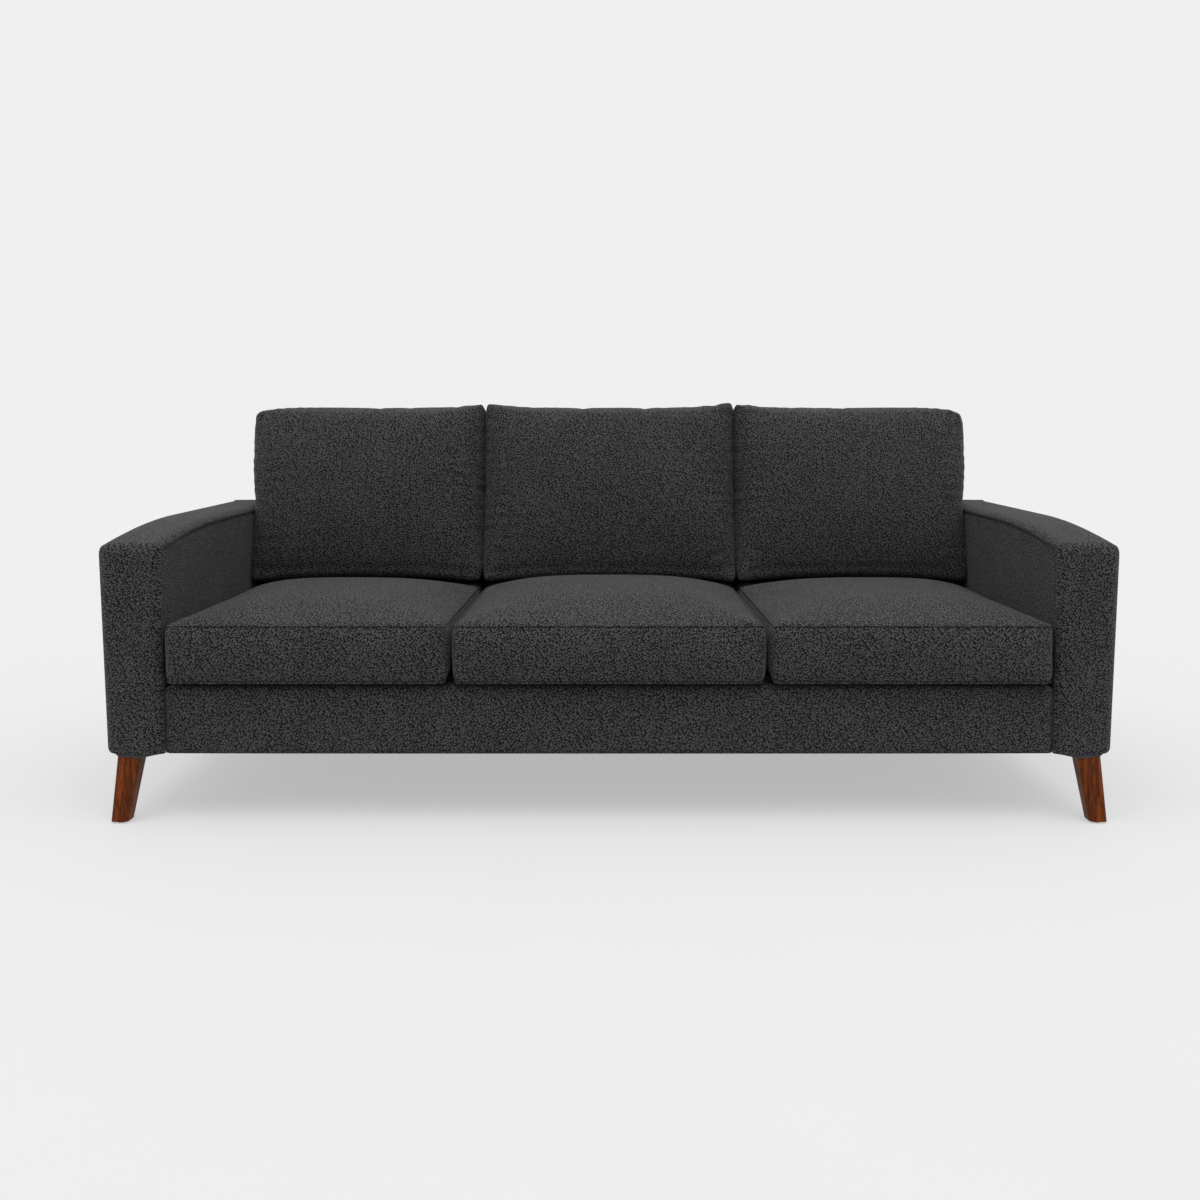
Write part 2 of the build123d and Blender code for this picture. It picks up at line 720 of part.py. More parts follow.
def all_parts():
    """Every sub-part, by name."""
    parts = {
        "front_rail": front_rail(),
        "rear_rail": rear_rail(),
        "seat_stretchers": seat_stretchers(),
        "corner_blocks": corner_blocks(),
        "back_posts": back_posts(),
        "back_top_rail": back_top_rail(),
        "back_uprights": back_uprights(),
        "tack_rails": tack_rails(),
        "seat_springs": seat_springs(),
        "spring_clips": spring_clips(),
        "back_webbing": back_webbing(),
        "front_rail_cover": front_rail_cover(),
        "seat_deck": seat_deck(),
        "inside_back": inside_back(),
        "outside_back": outside_back(),
        "dust_cover": dust_cover(),
        "leg_plates": group(at_corners(leg_plate()).values()),
        "leg_bolts": group(at_corners(leg_bolt()).values()),
        "leg_plate_screws": group(at_corners(plate_screws()).values()),
        "leg_glides": group(at_corners(glide()).values()),
    }
    for corner, shape in at_corners(leg()).items():
        parts[f"leg_{corner}"] = shape
    right_hand = {
        "arm_band": arm_band(),
        "arm_inside": arm_inside(),
        "arm_outside": arm_outside(),
        "arm_post": arm_post(),
        "arm_top_rail": arm_top_rail(),
        "side_rail": side_rail(),
    }
    for name, shape in right_hand.items():
        for side in SIDES:
            parts[f"{name}_{side}"] = on_side(side, shape)
    for name, middle, width in SEAT_CUSHIONS:
        for piece, shape in seat_cushion(middle, width).items():
            parts[f"seat_{piece}_{name}"] = shape
    for name, middle, width in BACK_CUSHIONS:
        for piece, shape in back_cushion(middle, width).items():
            parts[f"back_{piece}_{name}"] = shape
    return parts


os.makedirs("parts", exist_ok=True)
for part_name, part_shape in all_parts().items():
    export_step(part_shape, f"parts/{part_name}.step")
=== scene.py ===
import json
import math
from random import Random

import bmesh
import bpy
from mathutils import Matrix, Vector
from mathutils.kdtree import KDTree


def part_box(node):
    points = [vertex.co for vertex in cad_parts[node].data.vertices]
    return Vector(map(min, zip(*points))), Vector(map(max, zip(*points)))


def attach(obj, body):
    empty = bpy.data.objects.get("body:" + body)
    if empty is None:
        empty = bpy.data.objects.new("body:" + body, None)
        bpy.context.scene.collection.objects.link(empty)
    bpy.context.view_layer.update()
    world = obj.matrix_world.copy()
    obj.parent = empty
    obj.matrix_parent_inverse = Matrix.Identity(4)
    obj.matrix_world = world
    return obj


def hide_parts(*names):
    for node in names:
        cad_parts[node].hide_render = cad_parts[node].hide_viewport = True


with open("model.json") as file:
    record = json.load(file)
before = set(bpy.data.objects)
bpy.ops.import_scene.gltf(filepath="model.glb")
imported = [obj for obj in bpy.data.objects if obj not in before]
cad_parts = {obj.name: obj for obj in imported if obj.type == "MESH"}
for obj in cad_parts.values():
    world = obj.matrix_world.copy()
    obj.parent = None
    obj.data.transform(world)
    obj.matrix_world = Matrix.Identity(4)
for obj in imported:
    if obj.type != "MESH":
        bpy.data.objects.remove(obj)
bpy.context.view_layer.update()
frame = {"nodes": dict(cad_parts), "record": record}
scene = bpy.context.scene

# Sizes in metres and angles in radians. Left and right are as seen from the front: left is -X.
PLACES = ("left", "middle", "right")
SIDES = {"left": -1, "right": 1}

# Camera, opposite the front of the arms
CAMERA_DISTANCE = 2.4
CAMERA_HEIGHT = 0.88
CAMERA_PITCH = math.radians(3)
CAMERA_LENS = 33.7
CAMERA_SENSOR = 36
CAMERA_SHIFT = (-0.0076, -0.1033)

# All cushions: the mesh, and the cloth simulation that swells the panels
CUSHION_CELL = 0.011
PUFF_PRESSURE = 4
PUFF_FRAMES = 20
PUFF_LIMIT = 0.012
PUFF_STIFFNESS = 12
PUFF_BENDING = 0.6

# Seat cushions. SEAT_PRESSED and SEAT_DROOP_START are places along the depth, from -1 to 1.
SEAT_PITCH = math.radians(1.2)
SEAT_DEPTH = 0.758
SEAT_THICKNESS = 0.128
SEAT_CROWN = {"left": 0.034, "middle": 0.042, "right": 0.034}
SEAT_CROWN_POWER = 3.4
SEAT_PRESSED = 0.68
SEAT_DROOP = 0.006
SEAT_DROOP_START = 0.92
SEAT_ROUNDING = 0.017
SEAT_GAP = 0.003
SEAT_SEWING = {"slack": 0.004, "seam_cells": 0, "gathered": 1}

# Back cushions
BACK_LEAN = math.radians(11.5)
BACK_HEIGHT = 0.455
BACK_THICKNESS = 0.15
BACK_CROWN = 0.028
BACK_ROUNDING = 0.018
BACK_INNER_EAR = 0.018
BACK_OUTER_EAR = -0.009
BACK_PINCH = 0.005
BACK_SPREAD = 0.008
BACK_SAG = 0.026
BACK_SEWING = {"slack": 0.006, "seam_cells": 2, "gathered": 1.9}
BACK_SEED = 10

# Seams and piping
WELT_RADIUS = 0.0017
BACK_WELT_RADIUS = 0.00204
SEAM_DEPTH = 0.0022
SEAM_REACH = 0.006
PUCKER_DEPTH = 0.002
PUCKER_REACH = 0.022
PUCKER_SPACING = 0.021
PUCKER_GROUPS = 5.3

# Padded strips and panels on the frame
STRIP_CELL = 0.012
STRIP_CROWN = 0.0025
STRIP_EDGE = 0.006
STRIP_THICKNESS = 0.013
PANEL_SINK = 0.002
PANEL_DEPTH = 0.006
ARM_FLARE = 0.012
ARM_RISE = 0.032
ARM_CURVE = 0.39
ARM_RADIUS = (ARM_CURVE**2 + ARM_RISE**2) / (2 * ARM_RISE)
ARM_CORNER = 0.026
ARM_CURVE_STEPS = 24
ARM_FOOT_ROUNDING = 0.013
ARM_FOOT_PARTS = (0, 0.04, 0.15, 0.35, 0.65, 1)
RAIL_CORNER = 0.011
INSIDE_BACK_CORNER = 0.012
INSIDE_BACK_SLOPE = 0.04
INSIDE_BACK_TUCK = 0.02
OUTSIDE_BACK_INSET = 0.003
OUTSIDE_BACK_CROWN = 0.001
DECK_THICKNESS = 0.016
CORNER_STEPS = 6

# Studio light: the floor glows a little, so that it meets the pale background without a line
SKY_STRENGTH = 0.866
SUN_WIDTH = math.radians(55)
# name, strength, elevation and azimuth in degrees
SUNS = (("overhead", 1.9, 72, 0), ("from_left", 0.55, 42, -75), ("from_right", 0.55, 42, 75))
FLOOR_REACH = 30
FLOOR_SHADE = 0.25
FLOOR_MOTTLE = 0.005
FLOOR_GLOW = 0.45

# Weave: short floats of yarn, a little slanted
FLOAT_LENGTH = 0.0054
FLOAT_WIDTH = 0.0034
FLOAT_SLANT = math.radians(-32)
DARK_YARN = (0.0015, 0.0015, 0.0015, 1)
LIGHT_YARN = (0.078, 0.078, 0.078, 1)


# ---- meshes ----


def new_piece(name, vertices, faces, body, material):
    """A smooth mesh piece that rides on a CAD body."""
    mesh = bpy.data.meshes.new(name)
    mesh.from_pydata([tuple(v) for v in vertices], [], faces)
    mesh.validate()
    piece = bpy.data.objects.new(name, mesh)
    scene.collection.objects.link(piece)
    outward = bmesh.new()
    outward.from_mesh(mesh)
    bmesh.ops.recalc_face_normals(outward, faces=outward.faces)
    outward.to_mesh(mesh)
    outward.free()
    mesh.polygons.foreach_set("use_smooth", [True] * len(mesh.polygons))
    mesh.materials.append(material)
    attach(piece, body)
    return piece


def subdivide(piece):
    """Smooths the piece with one level of subdivision."""
    modifier = piece.modifiers.new("smooth", "SUBSURF")
    modifier.levels = 1
    modifier.render_levels = 1


def welt(name, points, closed, body, material, radius=WELT_RADIUS):
    """A round cord of fabric along a seam."""
    curve = bpy.data.curves.new(name, "CURVE")
    curve.dimensions = "3D"
    curve.bevel_depth = radius
    curve.bevel_resolution = 2
    spline = curve.splines.new("POLY")
    spline.points.add(len(points) - 1)
    for point, place in zip(spline.points, points):
        point.co = (*place, 1)
    spline.use_cyclic_u = closed
    piece = bpy.data.objects.new(name, curve)
    scene.collection.objects.link(piece)
    curve.materials.append(material)
    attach(piece, body)


def lattice(counts):
    """The points and quads on the surface of a block of cells, as whole-number places."""
    index = {}
    quads = []

    def vertex(place):
        return index.setdefault(place, len(index))

    for axis in range(3):
        u, v = [a for a in range(3) if a != axis]
        for level in (0, counts[axis]):
            for i in range(counts[u]):
                for j in range(counts[v]):
                    corners = []
                    for du, dv in ((0, 0), (1, 0), (1, 1), (0, 1)):
                        place = [0, 0, 0]
                        place[axis], place[u], place[v] = level, i + du, j + dv
                        corners.append(vertex(tuple(place)))
                    quads.append(corners)
    return list(index), quads


def seam_loop(places, counts, level, inset):
    """The vertices round the lattice's upper or lower face, in order, some cells in from its edge."""
    low, nx, ny = inset, counts[0] - inset, counts[1] - inset
    ring = [(i, low) for i in range(low, nx)] + [(nx, j) for j in range(low, ny)]
    ring += [(i, ny) for i in range(nx, low, -1)] + [(low, j) for j in range(ny, low, -1)]
    index = {place: n for n, place in enumerate(places)}
    return [index[i, j, level] for i, j in ring]


# ---- cushions ----


def rounded(point, half, radius):
    """A point of a block, moved in where it is near an edge or a corner."""
    inner = Vector(max(-h + radius, min(h - radius, c)) for c, h in zip(point, half))
    out = point - inner
    return inner + out.normalized() * radius if out.length > 0 else point


def puff(piece, pinned, slack):
    """Cloth simulation: pressure swells the slightly slack panels, and the seams hold them."""
    piece.vertex_groups.new(name="seams").add(pinned, 1.0, "REPLACE")
    modifier = piece.modifiers.new("cloth", "CLOTH")
    cloth = modifier.settings
    cloth.quality = 6
    cloth.tension_stiffness = PUFF_STIFFNESS
    cloth.compression_stiffness = PUFF_STIFFNESS
    cloth.bending_stiffness = PUFF_BENDING
    cloth.use_pressure = True
    cloth.uniform_pressure_force = PUFF_PRESSURE
    cloth.effector_weights.gravity = 0
    cloth.vertex_group_mass = "seams"
    cloth.shrink_min = -slack
    modifier.point_cache.frame_end = PUFF_FRAMES
    for step in range(1, PUFF_FRAMES + 1):
        scene.frame_set(step)
    swollen = piece.evaluated_get(bpy.context.evaluated_depsgraph_get())
    for vertex, target in zip(piece.data.vertices, swollen.data.vertices):
        move = target.co - vertex.co
        if move.length > PUFF_LIMIT:
            move *= PUFF_LIMIT / move.length
        vertex.co += move
    piece.modifiers.remove(modifier)
    scene.frame_set(1)


def sew(piece, loops, seed, gathered):
    """Presses the seams in and gathers small puckers beside them."""
    chance = Random(seed)
    phase = [chance.uniform(0, math.tau) for _ in loops]
    mesh = piece.data
    mesh.update()
    normals = [vertex.normal.copy() for vertex in mesh.vertices]
    for loop, start in zip(loops, phase):
        path = [mesh.vertices[n].co.copy() for n in loop]
        tree = kd_tree(path)
        for vertex, normal in zip(mesh.vertices, normals):
            _, nearest, distance = tree.find(vertex.co)
            if distance > 3 * PUCKER_REACH:
                continue
            along = nearest * CUSHION_CELL
            wave = math.sin(math.tau * along / PUCKER_SPACING + start)
            wave *= math.sin(math.tau * along / (PUCKER_SPACING * PUCKER_GROUPS) + 2 * start)
            gather = wave * (distance / PUCKER_REACH) * math.exp(1 - distance / PUCKER_REACH)
            groove = math.exp(-((distance / SEAM_REACH) ** 2))
            vertex.co += normal * gathered * (PUCKER_DEPTH * gather - SEAM_DEPTH * groove)
    mesh.update()


def kd_tree(points):
    """A tree that finds the nearest of the points."""
    tree = KDTree(len(points))
    for n, point in enumerate(points):
        tree.insert(point, n)
    tree.balance()
    return tree


def cushion(name, size, rounding, place, shape, rests, body, nodes, seed, material, sewing):
    """A sewn, boxed cushion. shape(point, u, v, w) bends the block; u, v and w run -1 to 1.

    rests(u, v, w) says where the cushion lies against something, which keeps it flat. Piping
    runs along seams at the very edge; seams some cells in from it are only grooves.
    """
    half = Vector(size) / 2
    counts = tuple(round(length / CUSHION_CELL) for length in size)
    places, quads = lattice(counts)
    vertices = []
    held = []
    for number, spot in enumerate(places):
        unit = Vector(2 * n / count - 1 for n, count in zip(spot, counts))
        if rests(*unit):
            held.append(number)
        block_point = Vector(u * h for u, h in zip(unit, half))
        vertices.append(place @ shape(rounded(block_point, half, rounding), *unit))
    piece = new_piece(name, vertices, quads, body, material)
    loops = [seam_loop(places, counts, level, sewing["seam_cells"]) for level in (counts[2], 0)]
    puff(piece, loops[0] + loops[1] + held, sewing["slack"])
    sew(piece, loops, seed, sewing["gathered"])
    if sewing["seam_cells"] == 0:
        for part, loop in zip(("upper", "lower"), loops):
            seam = [piece.data.vertices[n] for n in loop]
            path = [vertex.co + vertex.normal * WELT_RADIUS for vertex in seam]
            welt(f"{name}_welt_{part}", path, True, body, material)
    subdivide(piece)
    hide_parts(*nodes)


def seat_cushion(place_name, material):
    """Flat below, crowned above, and pressed flat behind by the back cushion."""
    node = f"seat_cover_{place_name}"
    low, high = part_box(node)
    width = high[0] - low[0] - 2 * SEAT_GAP
    size = (width, SEAT_DEPTH, SEAT_THICKNESS)
    front_bottom = Vector(((low[0] + high[0]) / 2, low[1], low[2] + SEAT_DEPTH * math.sin(SEAT_PITCH)))
    centre = Matrix.Translation((0, SEAT_DEPTH / 2, SEAT_THICKNESS / 2))
    place = Matrix.Translation(front_bottom) @ Matrix.Rotation(-SEAT_PITCH, 4, "X") @ centre

    def shape(point, u, v, w):
        """The top is crowned, and the lower front edge droops a little over the rail."""
        across = 1 - abs(u) ** SEAT_CROWN_POWER
        along = 1 - min(1, v / SEAT_PRESSED) ** 3 if v > 0 else 1 - abs(v) ** 3
        swell = SEAT_CROWN[place_name] * across * along * (w + 1) / 2
        droop = SEAT_DROOP * max(0, (-v - SEAT_DROOP_START) / (1 - SEAT_DROOP_START)) * max(0, -w)
        return point + Vector((0, 0, swell - droop))

    def rests(u, v, w):
        """On the deck below, and under the back cushion behind."""
        return w == -1 or (w == 1 and v > SEAT_PRESSED)

    cushion(
        f"seat_pad_{place_name}", size, SEAT_ROUNDING, place, shape, rests,
        f"seat_cushion_{place_name}", (node, f"seat_core_{place_name}"),
        PLACES.index(place_name), material, SEAT_SEWING,
    )


def back_cushion(place_name, material):
    """Stands on its lower boxing, with its inner top corners drawn up."""
    node = f"back_cover_{place_name}"
    low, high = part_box(node)
    width = high[0] - low[0]
    size = (width, BACK_HEIGHT, BACK_THICKNESS)
    foot_y = high[1] - math.sin(BACK_LEAN) * BACK_HEIGHT
    foot = Vector(((low[0] + high[0]) / 2, foot_y, low[2]))
    centre = Matrix.Translation((0, BACK_HEIGHT / 2, BACK_THICKNESS / 2))
    stand = Matrix.Rotation(math.pi / 2 - BACK_LEAN, 4, "X")
    place = Matrix.Translation(foot) @ stand @ centre
    outward = SIDES.get(place_name, 0)

    def shape(point, u, v, w):
        """The front swells, and the lower front edge settles on the seat cushion.

        Inner edges pull in between their corners. Outer edges spread above the arm.
        """
        front = (w + 1) / 2
        inner = u * outward <= 0
        swell = BACK_CROWN * (1 - abs(u) ** 3) * (1 - abs(v) ** 3) * front
        ear = (BACK_INNER_EAR if inner else BACK_OUTER_EAR) * abs(u) ** 7 * max(0, v) ** 3
        sag = BACK_SAG * (0.3 + 0.7 * abs(u) ** 2.5) * max(0, -v) ** 3 * front
        above_arm = min(1, max(0, 2.5 * (v + 0.1)))
        spread = -BACK_PINCH * (1 - v**4) * u if inner else BACK_SPREAD * above_arm * u
        return point + Vector((spread, ear - sag, swell))

    def rests(u, v, w):
        """Against the inside back, and on the seat cushion."""
        return w == -1 or v == -1

    cushion(
        f"back_pad_{place_name}", size, BACK_ROUNDING, place, shape, rests,
        f"back_cushion_{place_name}", (node, f"back_filling_{place_name}"),
        BACK_SEED + PLACES.index(place_name), material, BACK_SEWING,
    )


# ---- padded strips and panels ----


def spaced(points, step):
    """The same path with points about one step apart."""
    out = [Vector(points[0])]
    for a, b in zip(points, points[1:]):
        a, b = Vector(a), Vector(b)
        count = max(1, round((b - a).length / step))
        out += [a.lerp(b, n / count) for n in range(1, count + 1)]
    return out


def bend(centre, radius, start, end):
    """Points of an arc in the (Y, Z) plane, from one angle to another."""
    y, z = centre
    angles = [start + (end - start) * n / CORNER_STEPS for n in range(CORNER_STEPS + 1)]
    return [(y + radius * math.cos(a), z + radius * math.sin(a)) for a in angles]


def slab_faces(rows, columns):
    """Quads of a slab whose vertices are two grids, its face and then its back, row by row."""
    width = columns + 1
    offset = (rows + 1) * width
    faces = []
    for r in range(rows):
        for c in range(columns):
            a = r * width + c
            quad = (a, a + 1, a + width + 1, a + width)
            faces += [quad, tuple(n + offset for n in reversed(quad))]
        for a in (r * width, r * width + columns):
            faces.append((a, a + width, a + width + offset, a + offset))
    for c in range(columns):
        for a in (c, rows * width + c):
            faces.append((a, a + 1, a + 1 + offset, a + offset))
    return faces


def padded_piece(name, vertices, faces, node, material):
    """A padded skin on the frame, in place of a CAD node."""
    piece = new_piece(name, vertices, faces, "frame", material)
    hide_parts(node)


def strip(name, path, ends, node, material, thickness=STRIP_THICKNESS, crown=STRIP_CROWN):
    """Padding over a (Y, Z) path; ends(z) gives its two X edges. The left of the path is outside."""
    path = spaced(path, STRIP_CELL)
    start_low, start_high = ends(path[0].y)
    columns = round((start_high - start_low) / STRIP_CELL)
    spread = [-1 + 2 * n / columns for n in range(columns + 1)]
    outer = []
    inner = []
    for n, point in enumerate(path):
        along = (path[min(n + 1, len(path) - 1)] - path[max(n - 1, 0)]).normalized()
        normal = Vector((-along.y, along.x))
        x0, x1 = ends(point.y)
        half = (x1 - x0) / 2
        for s in spread:
            # the padding is crowned across, and turns down in a quarter round at each edge
            from_edge = (1 - abs(s)) * half
            drop = STRIP_EDGE * max(0, 1 - from_edge / STRIP_EDGE) ** 2
            lift = crown * (1 - abs(s) ** 4) - drop
            outer.append((x0 + (s + 1) * half, *(point + normal * lift)))
            inner.append((x0 + (s + 1) * half, *(point - normal * thickness)))
    padded_piece(name, outer + inner, slab_faces(len(path) - 1, columns), node, material)


def arm_curve(front, top, back):
    """The arm's front corner and its curved top, as far as its back."""
    centre_y = front + ARM_CURVE
    centre_z = top - ARM_RADIUS

    def height(y):
        return centre_z + math.sqrt(ARM_RADIUS**2 - (centre_y - y) ** 2)

    corner_y = front + ARM_CORNER
    corner_z = height(corner_y) - ARM_CORNER
    turn = math.asin(ARM_CURVE / ARM_RADIUS)
    points = bend((corner_y, corner_z), ARM_CORNER, math.pi, math.pi / 2 + turn)
    start = points[-1][0]
    run = centre_y - start
    curve = [start + run * n / ARM_CURVE_STEPS for n in range(1, ARM_CURVE_STEPS + 1)]
    points += [(y, height(y)) for y in curve]
    points.append((back, top))
    return points


def arm_pieces(side, material):
    """The band, the inside panel and the outside panel of one arm."""
    sign = SIDES[side]
    band_node = f"arm_band_{side}"
    low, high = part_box(band_node)
    inner = high[0] if sign < 0 else low[0]
    outer = low[0] if sign < 0 else high[0]
    bottom, top = low[2], high[2]

    def outer_x(z):
        into_corner = max(0, 1 - (z - bottom) / ARM_FOOT_ROUNDING)
        corner = ARM_FOOT_ROUNDING * (1 - math.sqrt(1 - min(1, into_corner) ** 2))
        return outer - sign * (ARM_FLARE * (top - z) / (top - bottom) + corner)

    def edges(z):
        return tuple(sorted((inner, outer_x(z))))

    foot = [(low[1], bottom + ARM_FOOT_ROUNDING * part) for part in ARM_FOOT_PARTS]
    path = foot + arm_curve(low[1], top, high[1])
    strip(f"arm_band_skin_{side}", path, edges, band_node, material)
    side_panel(f"arm_inside_skin_{side}", f"arm_inside_{side}", -sign, lambda z: inner, top, material)
    side_panel(f"arm_outside_skin_{side}", f"arm_outside_{side}", sign, outer_x, top, material)


def side_panel(name, node, facing, place_x, arm_top, material):
    """An upright padded panel that ends under the arm's band; facing is the sign of its normal."""
    low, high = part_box(node)
    front = low[1]
    bottom = low[2]
    band_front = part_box("arm_band_left")[0][1]
    inset = front - band_front

    def head(y):
        run = max(band_front + ARM_CURVE - y, 0)
        return arm_top - ARM_RADIUS + math.sqrt((ARM_RADIUS - inset) ** 2 - run**2)

    columns = round((high[1] - front) / STRIP_CELL)
    rows = round((arm_top - bottom) / STRIP_CELL)
    face = []
    back = []
    for c in range(columns + 1):
        y = front + (high[1] - front) * c / columns
        for r in range(rows + 1):
            z = bottom + (head(y) - bottom) * r / rows
            u, v = 2 * c / columns - 1, 2 * r / rows - 1
            puffed = STRIP_CROWN * (1 - abs(u) ** 8) * (1 - abs(v) ** 8) - PANEL_SINK
            face.append((place_x(z) + facing * puffed, y, z))
            back.append((place_x(z) - facing * PANEL_DEPTH, y, z))
    padded_piece(name, face + back, slab_faces(columns, rows), node, material)


def rail_cover(material):
    """The front rail's padded cover, turned over the rail's top and reaching the arm bands."""
    node = "front_rail_cover"
    low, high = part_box(node)
    path = [(low[1], low[2])]
    path += bend((low[1] + RAIL_CORNER, high[2] - RAIL_CORNER), RAIL_CORNER, math.pi, math.pi / 2)
    path.append((high[1], high[2]))
    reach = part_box("arm_band_right")[0][0]
    strip("front_rail_skin", path, lambda z: (-reach, reach), node, material)


def inside_back(material):
    """The panel behind the back cushions, tucked in at its foot and turned over the back's top."""
    low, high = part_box("inside_back")
    corner = INSIDE_BACK_CORNER
    head_y = low[1] + INSIDE_BACK_SLOPE
    path = [(low[1], low[2] - INSIDE_BACK_TUCK), (head_y, high[2] - corner)]
    path += bend((head_y + corner, high[2] - corner), corner, math.pi, math.pi / 2)
    path.append((high[1], high[2]))
    strip("inside_back_skin", path, lambda z: (low[0], high[0]), "inside_back", material)


def outside_back(material):
    """The flat panel across the back, with piping round its top and sides."""
    low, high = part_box("outside_back")

    def edges(z):
        half = high[0] - OUTSIDE_BACK_INSET - ARM_FLARE * (high[2] - z) / (high[2] - low[2])
        return (-half, half)

    path = [(high[1], high[2]), (high[1], low[2])]
    strip(
        "outside_back_skin", path, edges, "outside_back", material,
        thickness=high[1] - low[1], crown=OUTSIDE_BACK_CROWN,
    )
    foot = low[2] + OUTSIDE_BACK_INSET
    corners = [
        (edges(foot)[0], foot), (edges(high[2])[0], high[2]),
        (edges(high[2])[1], high[2]), (edges(foot)[1], foot),
    ]
    points = [(x, high[1] - OUTSIDE_BACK_INSET, z) for x, z in spaced(corners, STRIP_CELL)]
    welt("outside_back_welt", points, False, "frame", material, BACK_WELT_RADIUS)


def seat_deck(material):
    """The padded deck under the seat cushions."""
    low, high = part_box("seat_deck")
    fall = (high[1] - low[1]) * math.tan(SEAT_PITCH)
    path = [(low[1], high[2]), (high[1], high[2] - fall)]
    strip(
        "seat_deck_skin", path, lambda z: (low[0], high[0]), "seat_deck", material,
        thickness=DECK_THICKNESS, crown=0,
    )


# ---- materials ----


class Nodes:
    """Short calls for building one node tree."""

    def __init__(self, tree):
        self.tree = tree

    def node(self, kind, inputs=(), **settings):
        made = self.tree.nodes.new(kind)
        for key, value in settings.items():
            setattr(made, key, value)
        for socket, value in dict(inputs).items():
            if isinstance(value, bpy.types.NodeSocket):
                self.tree.links.new(value, made.inputs[socket])
            else:
                made.inputs[socket].default_value = value
        return made

    def math(self, operation, a, b=0.0):
        return self.node("ShaderNodeMath", {0: a, 1: b}, operation=operation).outputs[0]

    def vector(self, operation, a, b=(0, 0, 0)):
        return self.node("ShaderNodeVectorMath", {0: a, 1: b}, operation=operation).outputs[0]

    def mix(self, factor, a, b):
        made = self.node("ShaderNodeMix", data_type="RGBA")
        for socket, value in ((0, factor), (6, a), (7, b)):
            if isinstance(value, bpy.types.NodeSocket):
                self.tree.links.new(value, made.inputs[socket])
            else:
                made.inputs[socket].default_value = value
        return made.outputs[2]

    def noise(self, vector, scale, detail=3.0, roughness=0.5):
        inputs = {"Vector": vector, "Scale": scale, "Detail": detail, "Roughness": roughness}
        return self.node("ShaderNodeTexNoise", inputs).outputs[0]

    def fit(self, value, low, high, to_low=0.0, to_high=1.0):
        inputs = {0: value, 1: low, 2: high, 3: to_low, 4: to_high}
        return self.node("ShaderNodeMapRange", inputs).outputs[0]

    def bump(self, height, strength, distance):
        inputs = {"Height": height, "Strength": strength, "Distance": distance}
        return self.node("ShaderNodeBump", inputs).outputs[0]


def new_material(name, **constants):
    """A material with its shader's constants set, and a Nodes for the rest."""
    material = bpy.data.materials.new(name)
    material.use_nodes = True
    shader = material.node_tree.nodes["Principled BSDF"]
    for socket, value in constants.items():
        shader.inputs[socket.replace("_", " ")].default_value = value
    return material, Nodes(material.node_tree), shader


def weave_group():
    """Height and shade of short slanting floats of yarn, from two flat coordinates."""
    tree = bpy.data.node_groups.new("weave", "ShaderNodeTree")
    tree.interface.new_socket("Place", in_out="INPUT", socket_type="NodeSocketVector")
    tree.interface.new_socket("Height", in_out="OUTPUT", socket_type="NodeSocketFloat")
    tree.interface.new_socket("Shade", in_out="OUTPUT", socket_type="NodeSocketFloat")
    n = Nodes(tree)
    start = n.node("NodeGroupInput").outputs[0]
    end = n.node("NodeGroupOutput")
    turned = n.node(
        "ShaderNodeVectorRotate", {"Vector": start, "Angle": FLOAT_SLANT}, rotation_type="Z_AXIS"
    ).outputs[0]
    cells = n.vector("DIVIDE", turned, (FLOAT_LENGTH, FLOAT_WIDTH, 1))
    floats = n.node(
        "ShaderNodeTexVoronoi", {"Vector": cells, "Scale": 1.0, "Randomness": 0.8},
        voronoi_dimensions="2D",
    )
    height = n.fit(floats.outputs["Distance"], 0.12, 0.6, 1.0, 0.0)
    shade = n.node("ShaderNodeSeparateXYZ", {0: floats.outputs["Color"]}).outputs[0]
    tree.links.new(height, end.inputs[0])
    tree.links.new(shade, end.inputs[1])
    return tree


def box_mapped(n, group):
    """The weave seen along X, Y and Z, each used where the surface faces that way."""
    place = n.node("ShaderNodeTexCoord")
    xyz = n.node("ShaderNodeSeparateXYZ", {0: place.outputs["Object"]}).outputs
    facing = n.vector("ABSOLUTE", place.outputs["Normal"])
    facing = n.node("ShaderNodeSeparateXYZ", {0: facing}).outputs
    weights = [n.math("POWER", facing[axis], 8.0) for axis in range(3)]
    total = n.math("ADD", n.math("ADD", weights[0], weights[1]), weights[2])
    results = []
    for axis, (a, b) in enumerate(((1, 2), (0, 2), (0, 1))):
        flat = n.node("ShaderNodeCombineXYZ", {0: xyz[a], 1: xyz[b]}).outputs[0]
        weave = n.node("ShaderNodeGroup", node_tree=group)
        n.tree.links.new(flat, weave.inputs[0])
        share = n.math("DIVIDE", weights[axis], total)
        results.append([n.math("MULTIPLY", out, share) for out in weave.outputs])
    height, shade = (
        n.math("ADD", n.math("ADD", results[0][i], results[1][i]), results[2][i]) for i in (0, 1)
    )
    return place.outputs["Object"], height, shade


